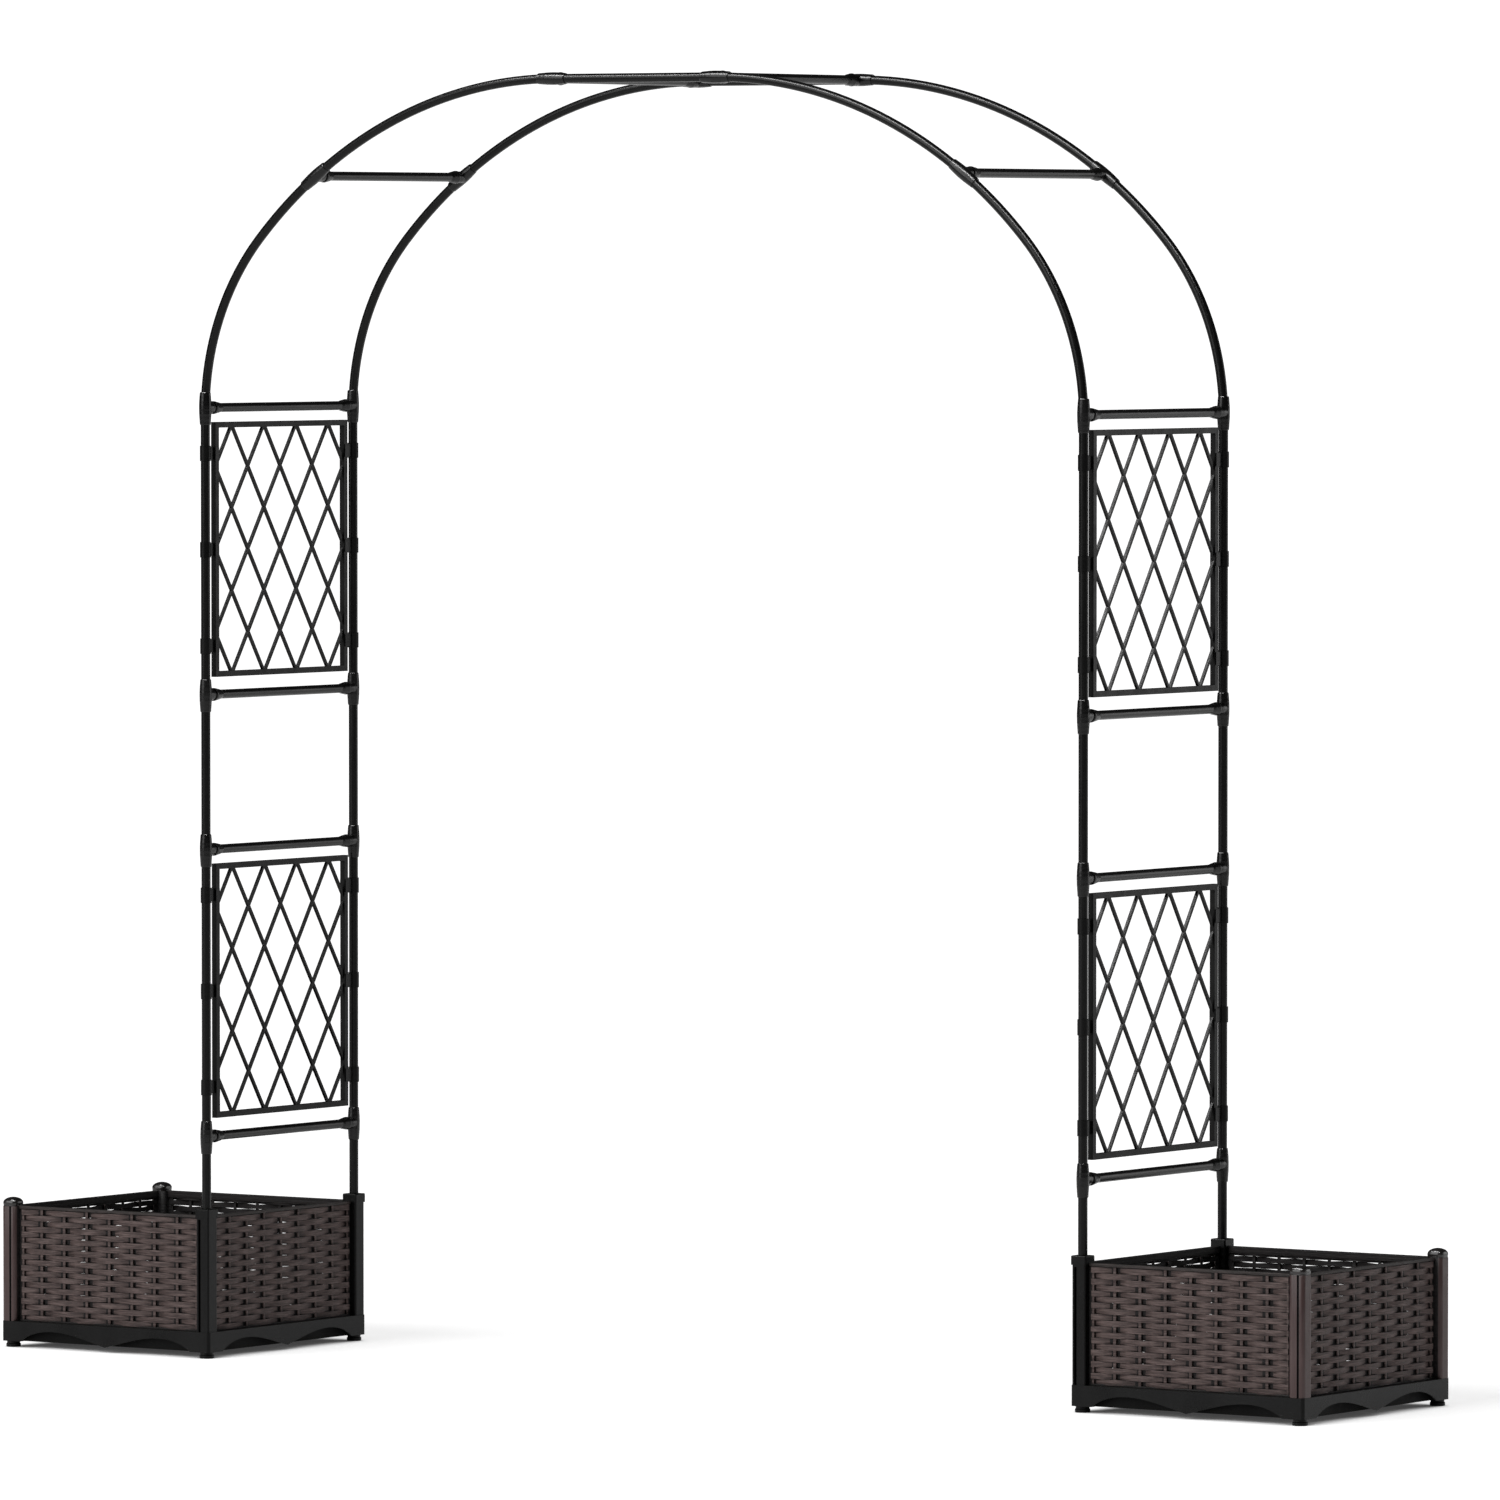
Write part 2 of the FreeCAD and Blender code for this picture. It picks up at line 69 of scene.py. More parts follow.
class Tree:
    """A material's node tree with short calls for the steps used here."""

    def __init__(self, name):
        self.mat = bpy.data.materials.new(name)
        self.mat.use_nodes = True
        self.nodes = self.mat.node_tree.nodes
        self.links = self.mat.node_tree.links
        self.shader = self.nodes["Principled BSDF"]
        self.place = self.nodes.new("ShaderNodeTexCoord").outputs["Object"]

    def node(self, kind, **values):
        made = self.nodes.new(kind)
        for key, value in values.items():
            setattr(made, key, value)
        return made

    def scaled(self, scale, source=None):
        step = self.node("ShaderNodeMapping")
        step.inputs["Scale"].default_value = scale
        self.links.new(source or self.place, step.inputs["Vector"])
        return step.outputs["Vector"]

    def along(self):
        """(distance along a wall, height) for walls that run along X or Y."""
        parts = self.node("ShaderNodeSeparateXYZ")
        self.links.new(self.place, parts.inputs[0])
        both = self.math("ADD", parts.outputs[0], parts.outputs[1])
        out = self.node("ShaderNodeCombineXYZ")
        self.links.new(both, out.inputs[0])
        self.links.new(parts.outputs[2], out.inputs[1])
        return out.outputs[0]

    def noise(self, vector, scale=1.0, detail=3.0, rough=0.55):
        step = self.node("ShaderNodeTexNoise")
        step.inputs["Scale"].default_value = scale
        step.inputs["Detail"].default_value = detail
        step.inputs["Roughness"].default_value = rough
        self.links.new(vector, step.inputs["Vector"])
        return step.outputs["Fac"]

    def math(self, operation, a, b=None):
        step = self.node("ShaderNodeMath", operation=operation)
        for socket, value in zip(step.inputs, (a, b)):
            if value is None:
                continue
            if isinstance(value, (int, float)):
                socket.default_value = value
            else:
                self.links.new(value, socket)
        return step.outputs[0]

    def ramp(self, value, stops):
        step = self.node("ShaderNodeValToRGB")
        while len(step.color_ramp.elements) < len(stops):
            step.color_ramp.elements.new(0.5)
        for element, (at, colour) in zip(step.color_ramp.elements, stops):
            element.position = at
            element.color = (*colour, 1.0)
        self.links.new(value, step.inputs["Fac"])
        return step.outputs["Color"]

    def span(self, value, low, high, source=(0.3, 0.7)):
        step = self.node("ShaderNodeMapRange")
        step.inputs["From Min"].default_value = source[0]
        step.inputs["From Max"].default_value = source[1]
        step.inputs["To Min"].default_value = low
        step.inputs["To Max"].default_value = high
        self.links.new(value, step.inputs["Value"])
        return step.outputs["Result"]

    def blend(self, fac, a, b, mode="MIX"):
        step = self.node("ShaderNodeMix", data_type="RGBA", blend_type=mode)
        for socket, value in ((step.inputs[0], fac), (step.inputs[6], a), (step.inputs[7], b)):
            if isinstance(value, (int, float)):
                socket.default_value = value
            elif isinstance(value, tuple):
                socket.default_value = (*value, 1.0)
            else:
                self.links.new(value, socket)
        return step.outputs[2]

    def painted_crevice_shade(self, colour, reach, dark):
        """Colour made darker in gaps narrower than reach, as painted shade from ambient occlusion.
        """
        step = self.node("ShaderNodeAmbientOcclusion", samples=8)
        step.inputs["Distance"].default_value = reach
        shade = self.span(step.outputs["AO"], dark, 1.0, (0.25, 0.8))
        return self.blend(1.0, colour, shade, "MULTIPLY")

    def bump(self, height, strength, distance, below=None):
        step = self.node("ShaderNodeBump")
        step.inputs["Strength"].default_value = strength
        step.inputs["Distance"].default_value = distance
        self.links.new(height, step.inputs["Height"])
        if below is not None:
            self.links.new(below, step.inputs["Normal"])
        return step.outputs["Normal"]

    def finish(self, colour, roughness, normal, specular):
        self.links.new(colour, self.shader.inputs["Base Color"])
        self.links.new(roughness, self.shader.inputs["Roughness"])
        self.links.new(normal, self.shader.inputs["Normal"])
        self.shader.inputs["Specular IOR Level"].default_value = specular
        return self.mat


def grey(value):
    return (value, value, value * 0.985)


def painted_steel(name, low, high, rough, specular, grain):
    """Black powder coat: cloudy tone, fine peel, a few faint rub marks, and lighter specks painted
    in as glints.
    """
    t = Tree(name)
    cloud = t.noise(t.scaled((9, 9, 9)), 1.0, 4.0)
    streak = t.noise(t.scaled(grain), 1.0, 3.0, 0.6)
    peel = t.noise(t.place, 900.0, 2.0)
    glint_speck = t.noise(t.place, 2400.0, 1.0)
    tone = t.math("ADD", t.math("MULTIPLY", cloud, 0.5), t.math("MULTIPLY", streak, 0.5))
    colour = t.ramp(tone, [(0.36, grey(low)), (0.52, grey((low + high) / 2)), (0.66, grey(high))])
    # Painted glints: small lighter specks in the colour.
    colour = t.blend(t.span(glint_speck, 0.0, 0.35, (0.62, 0.78)), colour, grey(high * 2.2))
    roughness = t.span(streak, rough - 0.06, rough + 0.09)
    normal = t.bump(peel, 0.18, 0.0004)
    return t.finish(colour, roughness, normal, specular)


def moulded_plastic(name, low, high, rough, specular, tint=(1, 1, 1)):
    """Black moulded plastic: pebbled skin and soft flow marks."""
    t = Tree(name)
    flow = t.noise(t.scaled((14, 14, 5)), 1.0, 4.0)
    pebble = t.noise(t.place, 1100.0, 2.0, 0.5)
    scuff = t.noise(t.scaled((60, 60, 420)), 1.0, 2.0, 0.7)
    shade = t.math("ADD", t.math("MULTIPLY", flow, 0.65), t.math("MULTIPLY", scuff, 0.35))
    first = tuple(low * c for c in tint)
    last = tuple(high * c for c in tint)
    colour = t.ramp(shade, [(0.36, first), (0.64, last)])
    roughness = t.span(flow, rough - 0.07, rough + 0.08)
    normal = t.bump(pebble, 0.22, 0.0005)
    return t.finish(colour, roughness, normal, specular)


def planter_plastic(name, low, high, rough, specular):
    """The black plastic of the base, duller on the pan inside its skirt, where it is also darkened
    as painted shade.
    """
    t = Tree(name)
    parts = t.node("ShaderNodeSeparateXYZ")
    t.links.new(t.place, parts.inputs[0])
    offset = t.math("SUBTRACT", t.math("ABSOLUTE", parts.outputs[0]), PLANTER_X)
    inset_x = t.math("SUBTRACT", CORNER + BASE_EDGE, t.math("ABSOLUTE", offset))
    inset_y = t.math("SUBTRACT", CORNER_Y + BASE_EDGE, t.math("ABSOLUTE", parts.outputs[1]))
    inside = t.span(t.math("MINIMUM", inset_x, inset_y), 0.0, 1.0, PAN_SHADE_FADE)
    flow = t.noise(t.scaled((14, 14, 5)), 1.0, 4.0)
    pebble = t.noise(t.place, 1100.0, 2.0, 0.5)
    colour = t.ramp(flow, [(0.36, grey(low)), (0.64, grey(high))])
    # Painted shade: the recessed pan inside the skirt is darkened.
    colour = t.blend(inside, colour, grey(low * 0.3))
    worn = t.span(flow, rough - 0.07, rough + 0.08)
    roughness = t.math("ADD", worn, t.math("MULTIPLY", inside, 0.45))
    normal = t.bump(pebble, 0.22, 0.0005)
    return t.finish(colour, roughness, normal, specular)


def woven_plastic(name, tones, rough):
    """Brown extruded reed: long grain along the strip, dusty tone changes, and painted shade in
    narrow gaps.
    """
    t = Tree(name)
    wall = t.along()
    grain = t.noise(t.scaled((30, 480, 1), wall), 1.0, 3.0, 0.7)
    fine = t.noise(t.scaled((90, 3000, 1), wall), 1.0, 2.0, 0.6)
    patch = t.noise(t.scaled((24, 120, 1), wall), 1.0, 3.0)
    mixed = t.math("ADD", t.math("MULTIPLY", grain, 0.65), t.math("MULTIPLY", patch, 0.35))
    colour = t.ramp(mixed, [(0.38, tones[0]), (0.50, tones[1]), (0.62, tones[2])])
    # Painted shade: darker where strips, stakes and rails close in on each other.
    colour = t.painted_crevice_shade(colour, 0.012, 0.15)
    roughness = t.span(grain, rough - 0.08, rough + 0.10)
    normal = t.bump(grain, 0.8, 0.0012, t.bump(fine, 0.25, 0.0003))
    return t.finish(colour, roughness, normal, 0.2)


def reeded_plastic(name, tones, rough):
    """Brown post: the same plastic with its grain running upwards, and painted shade in narrow
    gaps.
    """
    t = Tree(name)
    grain = t.noise(t.scaled((900, 900, 14)), 1.0, 4.0, 0.62)
    patch = t.noise(t.scaled((30, 30, 12)), 1.0, 3.0)
    mixed = t.math("ADD", t.math("MULTIPLY", grain, 0.6), t.math("MULTIPLY", patch, 0.4))
    colour = t.ramp(mixed, [(0.34, tones[0]), (0.50, tones[1]), (0.66, tones[2])])
    # Painted shade: darker in the groove and where the post meets the walls.
    colour = t.painted_crevice_shade(colour, 0.02, 0.12)
    roughness = t.span(grain, rough - 0.06, rough + 0.09)
    normal = t.bump(grain, 0.45, 0.0005)
    return t.finish(colour, roughness, normal, 0.25)


BROWN = [(0.024, 0.014, 0.013), (0.057, 0.038, 0.035), (0.108, 0.077, 0.072)]
# Near-black tones painted in as shade: inward sides of the walls, strips behind stakes, bare
# tongues, thin rails, and the posts' inner sides and grooves.
PAINTED_SHADE_TONES = [(0.004, 0.003, 0.003), (0.008, 0.006, 0.006), (0.014, 0.011, 0.010)]
RIM_BROWN = [(0.009, 0.007, 0.006), (0.020, 0.015, 0.014), (0.040, 0.030, 0.028)]
POST_BROWN = [(0.036, 0.020, 0.019), (0.049, 0.029, 0.028), (0.063, 0.040, 0.039)]

tube_paint = painted_steel("black_tube_paint", 0.002, 0.005, 0.25, 0.15, (420, 420, 9))
bar_paint = painted_steel("black_bar_paint", 0.001, 0.003, 0.27, 0.22, (420, 9, 420))
lattice_paint = painted_steel("black_lattice_paint", 0.001, 0.003, 0.34, 0.1, (160, 60, 60))
joint_plastic = moulded_plastic("black_joint_plastic", 0.002, 0.005, 0.24, 0.25)
clip_plastic = moulded_plastic("black_clip_plastic", 0.001, 0.003, 0.34, 0.12)
base_plastic = moulded_plastic("black_planter_plastic", 0.001, 0.003, 0.3, 0.12)
pan_plastic = planter_plastic("black_base_plastic", 0.001, 0.003, 0.3, 0.12)
weave_brown = woven_plastic("woven_brown_plastic", BROWN, 0.52)
rim_brown = woven_plastic("woven_rim_plastic", RIM_BROWN, 0.5)
# Near-black material that paints shade on the weave and the posts.
painted_shade_dark = woven_plastic("woven_painted_shade_plastic", PAINTED_SHADE_TONES, 0.6)
post_brown = reeded_plastic("brown_post_plastic", POST_BROWN, 0.36)
cap_dark = moulded_plastic("cap_dark_plastic", 0.009, 0.015, 0.25, 0.45, (1, 0.82, 0.79))

FINISHES = [
    (("tube_", "arc_"), tube_paint),
    (("crossbar_",), bar_paint),
    (("lattice_",), lattice_paint),
    (("tee_",), joint_plastic),
    (("panel_clips",), clip_plastic),
    (("planter_base",), pan_plastic),
    (("socket_",), base_plastic),
    (("corner_",), post_brown),
    (("woven_",), weave_brown),
]
for name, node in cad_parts.items():
    for starts, mat in FINISHES:
        if name.startswith(starts):
            for place in node.material_slots:
                place.material = mat


# --- mesh helpers ----------------------------------------------------------

def add_tube(bm, rings, mat=0, back=(), back_mat=0, dark_rings=()):
    """Skin over a list of equal rings of points, with both ends closed.

    The second material goes on the sides of the ring that back lists, and all round
    from each ring that dark_rings lists to the next.
    """
    made = [[bm.verts.new(p) for p in ring] for ring in rings]
    count = len(made[0])
    faces = []
    for row, (a, b) in enumerate(zip(made, made[1:])):
        for i in range(count):
            j = (i + 1) % count
            face = bm.faces.new((a[i], a[j], b[j], b[i]))
            face.material_index = back_mat if i in back or row in dark_rings else mat
            faces.append(face)
    faces.append(bm.faces.new(made[0]))
    faces.append(bm.faces.new(list(reversed(made[-1]))))
    for face in faces[-2:]:
        face.material_index = mat
    for face in faces:
        face.smooth = True
    faces[-1].smooth = False
    faces[-2].smooth = False


def add_bar(bm, low, high, bevel, to_world, mat=0, back_mat=None):
    """Box with rounded edges, given in wall coordinates."""
    box = bmesh.new()
    bmesh.ops.create_cube(box, size=1.0)
    for v in box.verts:
        v.co = Vector([low[i] + (high[i] - low[i]) * (v.co[i] + 0.5) for i in range(3)])
    bmesh.ops.bevel(box, geom=list(box.edges), offset=bevel, segments=2, profile=0.6,
                    affect="EDGES", clamp_overlap=True)
    table = {v: bm.verts.new(to_world(*v.co)) for v in box.verts}
    for face in box.faces:
        made = bm.faces.new([table[v] for v in face.verts])
        inward = back_mat is not None and face.calc_center_median().y < 0
        made.material_index = back_mat if inward else mat
        made.smooth = True
    box.free()


def make_object(name, bm, mats, flat_angle=0.9):
    bmesh.ops.recalc_face_normals(bm, faces=bm.faces)
    mesh = bpy.data.meshes.new(name)
    bm.to_mesh(mesh)
    bm.free()
    for mat in mats:
        mesh.materials.append(mat)
    piece = bpy.data.objects.new(name, mesh)
    bpy.context.collection.objects.link(piece)
    mesh.set_sharp_from_angle(angle=flat_angle)
    return piece


# --- woven walls -----------------------------------------------------------
# Wall coordinates: s along the wall from its middle stake, n outwards, z up.

ROWS = 20
ROW_FIRST = 52.1 * MM       # middle of the lowest strip
ROW_PITCH = 9.83 * MM
COLUMNS = 8
AMPLITUDE = 3.2 * MM        # how far a strip swings to each side
THICK = 1.5 * MM
HEIGHT_OVER = 9.9 * MM      # a strip's height in front of a stake
HEIGHT_UNDER = 8.2 * MM     # behind one
HEIGHT_BETWEEN = 9.9 * MM
STAKE_HALF = 2.9 * MM
END_GAP = 6.0 * MM          # bare tongue between the weave and a corner
END_STAKE = 4.5 * MM
STEPS = 12                  # rings of a strip from stake to stake
BEHIND = -0.84              # swing past which a strip's section counts as hidden behind a stake and is painted in shade
WALL_LOW = 46.0 * MM
WALL_TOP = 250.0 * MM

# Section of a strip: height as a part of its half height, depth as a part of THICK.
STRIP_SECTION = ((-1, -0.1), (-0.96, 0.4), (-0.6, 0.52), (0.6, 0.52), (0.96, 0.4),
                 (1, -0.1), (0.94, -0.5), (-0.94, -0.5))
STRIP_BACK = (5, 6, 7)      # its sides that face into the planter, painted in shade


def strip_rings(low, high, pitch, row, rng, to_world):
    """Rings of one flat strip that passes before every second stake and behind the others.

    Also lists the rings whose stretch of strip lies behind a stake, to be painted in shade.
    """
    sign = -1.0 if row % 2 == 0 else 1.0
    middle = ROW_FIRST + row * ROW_PITCH + rng.uniform(-0.12, 0.12) * MM
    swell = rng.uniform(0.985, 1.01)
    phase = rng.uniform(0, 6.28)
    count = int(round((high - low) / pitch * STEPS))
    step = (high - low) / count
    rings = []
    behind = []
    for i in range(count + 1):
        s = low + (high - low) * i / count
        wave = sign * math.cos(math.pi * s / pitch)
        if sign * math.cos(math.pi * (s + 0.5 * step) / pitch) < BEHIND:
            behind.append(i)
        lean = wave * (1.22 - 0.22 * wave * wave)
        peak = HEIGHT_OVER if wave > 0 else HEIGHT_UNDER
        half = 0.5 * swell * (HEIGHT_BETWEEN + (peak - HEIGHT_BETWEEN) * wave * wave)
        z = middle + 0.18 * MM * math.sin(s * 31.0 + phase)
        rings.append([to_world(s, AMPLITUDE * lean + out * THICK, z + across * half)
                      for across, out in STRIP_SECTION])
    return rings, behind


def woven_wall(name, node, low, high, pitch, to_world, ends, seed):
    """Strips woven round flat stakes, under a moulded rim. Their inward sides, the stretches
    behind stakes, the bare tongues and the thin rails are given a near-black painted shade.

    ends holds how far the rim stops short at each end.
    """
    rng = random.Random(seed)
    bm = bmesh.new()
    # Material slots: brown strips, rim, and the near-black painted shade.
    brown, rim, dark = 0, 1, 2

    def bar(s, n, z, bevel, mat, back_mat=None):
        """Bar between the pairs s, n and z; n is in millimetres."""
        add_bar(bm, (s[0], n[0] * MM, z[0]), (s[1], n[1] * MM, z[1]), bevel * MM, to_world,
                mat, back_mat)

    for row in range(ROWS):
        first = low + END_GAP + rng.uniform(-0.7, 0.5) * MM
        last = high - END_GAP + rng.uniform(-0.5, 0.7) * MM
        rings, behind = strip_rings(first, last, pitch, row, rng, to_world)
        add_tube(bm, rings, brown, STRIP_BACK, dark, behind)
    upright = (WALL_LOW, WALL_TOP - 4 * MM)
    for k in range(-COLUMNS // 2 + 1, COLUMNS // 2):
        s = k * pitch
        bar((s - STAKE_HALF, s + STAKE_HALF), (-1.5, 1.5), upright, 0.9, brown, dark)
    for edge, tongue in ((low + END_GAP, low), (high - END_GAP - END_STAKE, high - END_GAP)):
        bar((edge, edge + END_STAKE), (-1.6, 2.0), (WALL_LOW, WALL_TOP - 6 * MM), 0.9, brown, dark)
        bar((tongue - MM, tongue + END_GAP + MM), (-1.5, 1.1), upright, 0.4, dark)
    whole = (low + ends[0], high - ends[1])
    bar(whole, (-4.5, 4.5), (WALL_TOP - 5.2 * MM, WALL_TOP), 1.1, rim, dark)
    bar(whole, (-4.4, -2.2), (WALL_TOP - 12 * MM, WALL_TOP - 3.2 * MM), 0.7, dark)
    bar((low, high), (-2.2, 2.2), (WALL_LOW, WALL_LOW + 3 * MM), 0.7, dark)
    piece = make_object(name, bm, [weave_brown, rim_brown, painted_shade_dark])
    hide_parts(node)
    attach(piece, "root")


SOCKET = 0.0133             # half a black socket post
BROWN_HALF = 0.015          # half a brown corner post
PITCH_X = (2 * CORNER - SOCKET - BROWN_HALF) / COLUMNS
PITCH_Y = (2 * CORNER_Y - 2 * BROWN_HALF) / COLUMNS


def wall_map(side, wall):
    """Function from wall coordinates to the frame for one wall of a planter."""
    if wall in ("front", "rear"):
        face = -1 if wall == "front" else 1
        return lambda s, n, z: Vector((side * (PLANTER_X + s), face * (CORNER_Y + n), z))
    if wall == "outer":
        return lambda s, n, z: Vector((side * (PLANTER_X + CORNER + n), s, z))
    return lambda s, n, z: Vector((side * (PLANTER_X - CORNER - n), s, z))


SIDES = (("left", -1), ("right", 1))
RIM_AT_SOCKET = 1.8 * MM
RIM_AT_POST = 0.6 * MM

seed = 11
for side_name, side in SIDES:
    for wall in ("front", "rear", "outer", "inner"):
        if wall in ("front", "rear"):
            low, high, pitch = -CORNER + SOCKET, CORNER - BROWN_HALF, PITCH_X
            ends = (RIM_AT_SOCKET, RIM_AT_POST)
        elif wall == "outer":
            low, high, pitch = -CORNER_Y + BROWN_HALF, CORNER_Y - BROWN_HALF, PITCH_Y
            ends = (RIM_AT_POST, RIM_AT_POST)
        else:
            low, high, pitch = -CORNER_Y + SOCKET, CORNER_Y - SOCKET, PITCH_Y
            ends = (RIM_AT_SOCKET, RIM_AT_SOCKET)
        name = side_name + "_" + wall
        to_world = wall_map(side, wall)
        woven_wall("weave_" + name, "woven_" + name, low, high, pitch, to_world, ends, seed)
        seed += 1


# --- brown corner posts and their caps --------------------------------------

POST_ROUND = 8.0 * MM       # corner radius
GROOVE_AT = 4.4 * MM        # off the middle of its face
GROOVE_HALF = 1.8 * MM
GROOVE_DEEP = 3.4 * MM
GROOVE_WALL = 0.2 * MM      # width over which its sides drop
REED_PITCH = 2.4 * MM
REED_DEEP = 0.14 * MM
FACING_IN = 0.45            # least turn towards the planter that counts as its inner side, painted in shade

# A post's heights, and how far its outline draws in at each, in millimetres.
POST_LEVELS = ((46.0, 0.4), (46.6, 0.0), (120.0, 0.0), (185.0, 0.0), (248.6, 0.0), (249.0, 0.3))

# A cap's heights, half widths in millimetres and squareness (2 is round).
CAP_PROFILE = ((249.0, 14.4, 3.6), (249.3, 14.8, 3.6), (250.4, 15.0, 3.6), (250.9, 14.8, 3.6),
               (251.5, 15.0, 3.5), (252.8, 15.4, 3.4), (254.8, 15.5, 3.4), (257.0, 15.2, 3.3),
               (259.0, 14.3, 3.2), (260.9, 12.8, 3.0), (262.4, 10.8, 2.8), (263.6, 8.2, 2.5),
               (264.4, 5.2, 2.3), (264.85, 2.4, 2.1))
CAP_POINTS = 48


def rounded_ring(half, corner, per_corner, per_side):
    """Points round a rounded square.

    Each comes with its outward direction, its place across its flat side, or None on a
    corner, and the side's number.
    """
    ring = []
    flat = half - corner
    for turn in range(4):
        a = math.pi / 2 * turn
        out = Vector((math.cos(a), math.sin(a)))
        left = Vector((-out.y, out.x))
        for i in range(per_side):
            across = -flat + 2 * flat * i / per_side
            ring.append((out * half + left * across, out, across, turn))
        centre = out * flat + left * flat
        for i in range(per_corner):
            b = a + math.pi / 2 * i / per_corner
            out_b = Vector((math.cos(b), math.sin(b)))
            ring.append((centre + out_b * corner, out_b, None, turn))
    return ring


def corner_post(bm, x, y, side, face):
    """Post with big rounded corners, fine reeds and a groove down its front or rear face.

    The groove and the two sides that face into the planter take the near-black material, as
    painted shade.
    """
    groove_turn = 3 if face < 0 else 1
    outline = []
    dark = []
    inside = Vector((-side, -face)).normalized()
    for point, out, across, turn in rounded_ring(BROWN_HALF, POST_ROUND, 14, 48):
        inward = 0.0
        if out.dot(inside) > FACING_IN:
            dark.append(len(outline))
        if across is not None:
            reed = abs(math.cos(math.pi * across / REED_PITCH))
            inward = REED_DEEP * (1 - reed) ** 2
            off = abs(across - GROOVE_AT)
            if turn == groove_turn and off < GROOVE_HALF:
                inward = GROOVE_DEEP * min(1.0, (GROOVE_HALF - off) / GROOVE_WALL)
            if turn == groove_turn and off < GROOVE_HALF + 0.3 * MM:
                dark.append(len(outline))
        outline.append(point - out * inward)
    rings = []
    for z, inset in POST_LEVELS:
        k = 1 - inset * MM / BROWN_HALF
        rings.append([Vector((x + p.x * k, y + p.y * k, z * MM)) for p in outline])
    add_tube(bm, rings, 0, dark, 1)


def corner_cap(bm, x, y):
    """Pillow-shaped cap with a small lip."""
    rings = []
    for z, half, power in CAP_PROFILE:
        ring = []
        for i in range(CAP_POINTS):
            a = 2 * math.pi * (i + 0.5) / CAP_POINTS
            c, s = math.cos(a), math.sin(a)
            r = half * MM / (abs(c) ** power + abs(s) ** power) ** (1 / power)
            ring.append(Vector((x + r * c, y + r * s, z * MM)))
        rings.append(ring)
    add_tube(bm, rings)
    bm.faces.ensure_lookup_table()
    bm.faces[-1].smooth = True


POST_FLAT_ANGLE = 1.2       # sharper edges than this, in radians, stay sharp

for side_name, side in SIDES:
    for face_name, face in (("front", -1), ("rear", 1)):
        x = side * (PLANTER_X + CORNER)
        y = face * CORNER_Y
        name = side_name + "_" + face_name
        bm = bmesh.new()
        corner_post(bm, x, y, side, face)
        piece = make_object("reeded_post_" + name, bm, [post_brown, painted_shade_dark], POST_FLAT_ANGLE)
        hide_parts("corner_posts")
        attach(piece, "root")
        bm = bmesh.new()
        corner_cap(bm, x, y)
        piece = make_object("pillow_cap_" + name, bm, [cap_dark], POST_FLAT_ANGLE)
        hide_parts("corner_caps")
        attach(piece, "root")


# --- floor, light and camera ------------------------------------------------

FLOOR_GLOW = 0.77
# Glow left close under the planters, and the reach of that painted contact shadow.
PAINTED_SHADOW_GLOW = 0.05
PAINTED_SHADOW_REACH = 0.07


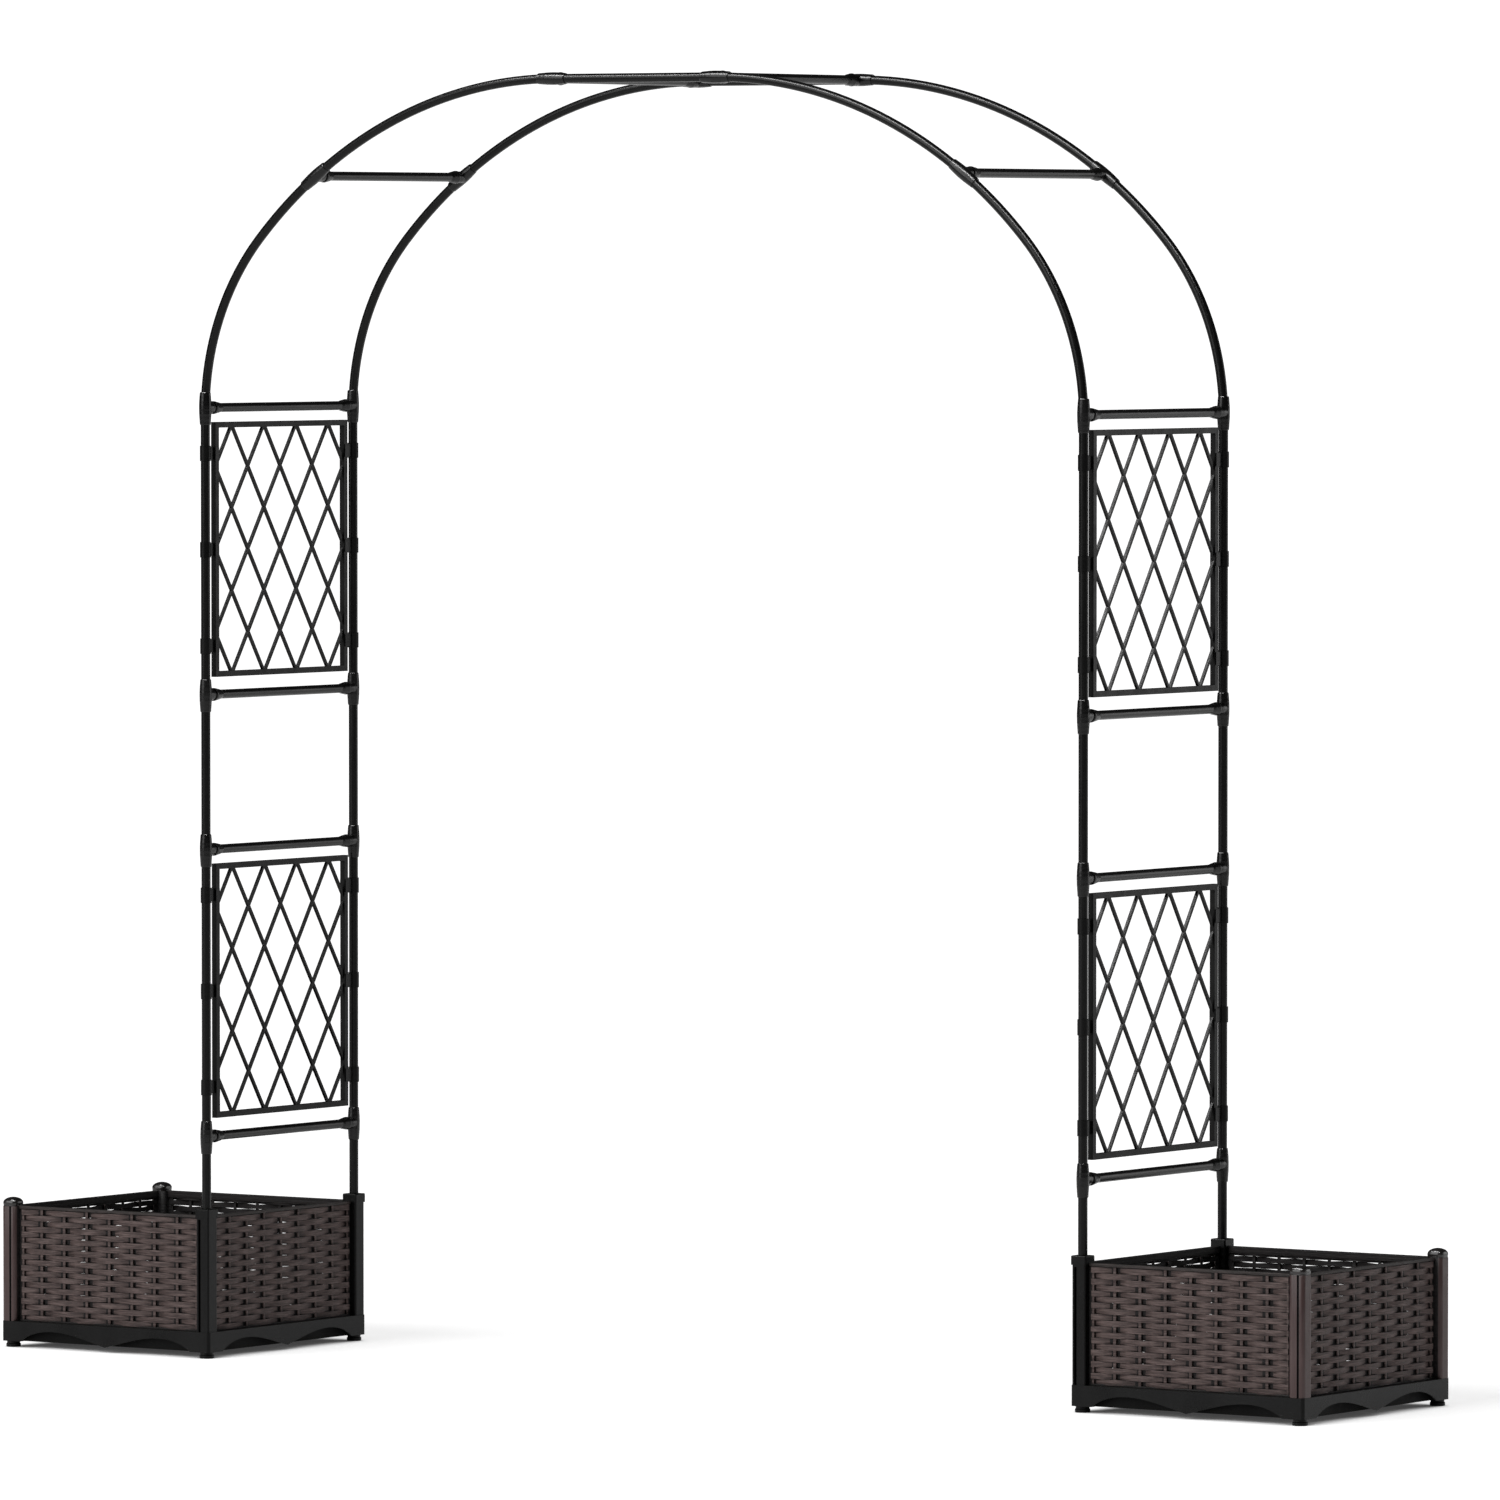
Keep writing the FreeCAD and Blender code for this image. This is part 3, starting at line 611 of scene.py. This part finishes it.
def studio_floor():
    """Pale floor with a glow of its own, which fades close under the planters as a painted contact
    shadow.
    """
    t = Tree("pale_floor")
    cloud = t.noise(t.scaled((0.7, 0.7, 0.7)), 1.0, 2.0)
    colour = t.ramp(cloud, [(0.3, (0.93, 0.93, 0.93)), (0.7, (0.95, 0.95, 0.95))])
    roughness = t.span(cloud, 0.85, 0.95)
    normal = t.bump(cloud, 0.02, 0.001)
    mat = t.finish(colour, roughness, normal, 0.0)
    t.shader.inputs["Emission Color"].default_value = (1, 1, 1, 1)
    # Painted contact shadow: the glow drops where the planters stand close over the floor.
    shadow_occlusion = t.node("ShaderNodeAmbientOcclusion", samples=16)
    shadow_occlusion.inputs["Distance"].default_value = PAINTED_SHADOW_REACH
    glow = t.span(shadow_occlusion.outputs["AO"], PAINTED_SHADOW_GLOW, FLOOR_GLOW, (0.12, 0.75))
    t.links.new(glow, t.shader.inputs["Emission Strength"])
    bm = bmesh.new()
    bmesh.ops.create_circle(bm, cap_ends=True, segments=96, radius=14.0)
    floor = make_object("studio_floor", bm, [mat])
    floor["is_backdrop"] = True


def studio_world():
    """White to the eye; a dimmer room for light and reflections."""
    world = bpy.data.worlds.new("studio")
    bpy.context.scene.world = world
    world.use_nodes = True
    nodes, links = world.node_tree.nodes, world.node_tree.links
    back = nodes["Background"]
    back.inputs["Color"].default_value = (1, 1, 1, 1)
    path = nodes.new("ShaderNodeLightPath")
    level = nodes.new("ShaderNodeMapRange")
    level.inputs["To Min"].default_value = 0.06
    level.inputs["To Max"].default_value = 1.15
    links.new(path.outputs["Is Camera Ray"], level.inputs["Value"])
    links.new(level.outputs["Result"], back.inputs["Strength"])


def aimed(name, data, place, target):
    obj = bpy.data.objects.new(name, data)
    bpy.context.collection.objects.link(obj)
    obj.location = place
    obj.rotation_euler = (Vector(target) - Vector(place)).to_track_quat("-Z", "Y").to_euler()
    return obj


def studio_lights():
    """Broad soft key, a panel behind, and a strip above that only adds highlights."""
    sun = bpy.data.lights.new("key", "SUN")
    sun.energy = 2.3
    sun.angle = math.radians(50)
    aimed("key", sun, (-3.4, -8.4, 4.3), (0, 0, 0))
    side = bpy.data.lights.new("rear_panel", "AREA")
    side.shape = "RECTANGLE"
    side.size, side.size_y = 5.0, 4.0
    side.energy = 150
    aimed("rear_panel", side, (6.4, 8.4, 2.4), (0, 0, 0.7))
    strip = bpy.data.lights.new("top_strip", "AREA")
    strip.shape = "RECTANGLE"
    strip.size, strip.size_y = 7.0, 0.5
    strip.energy = 700
    gloss = aimed("top_strip", strip, (0, -2.2, 5.4), (0, 0, 1.9))
    gloss.visible_diffuse = False


studio_floor()
studio_world()
studio_lights()

lens = bpy.data.cameras.new("camera")
lens.lens = 300.62
lens.sensor_width = 36.0
lens.clip_start, lens.clip_end = 1.0, 120.0
camera = aimed("camera", lens, (12.1831, -17.7129, 1.9158), (0.0904, 0.0, 1.0787))
bpy.context.scene.camera = camera
bpy.context.scene.view_settings.view_transform = "Standard"

low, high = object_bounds()
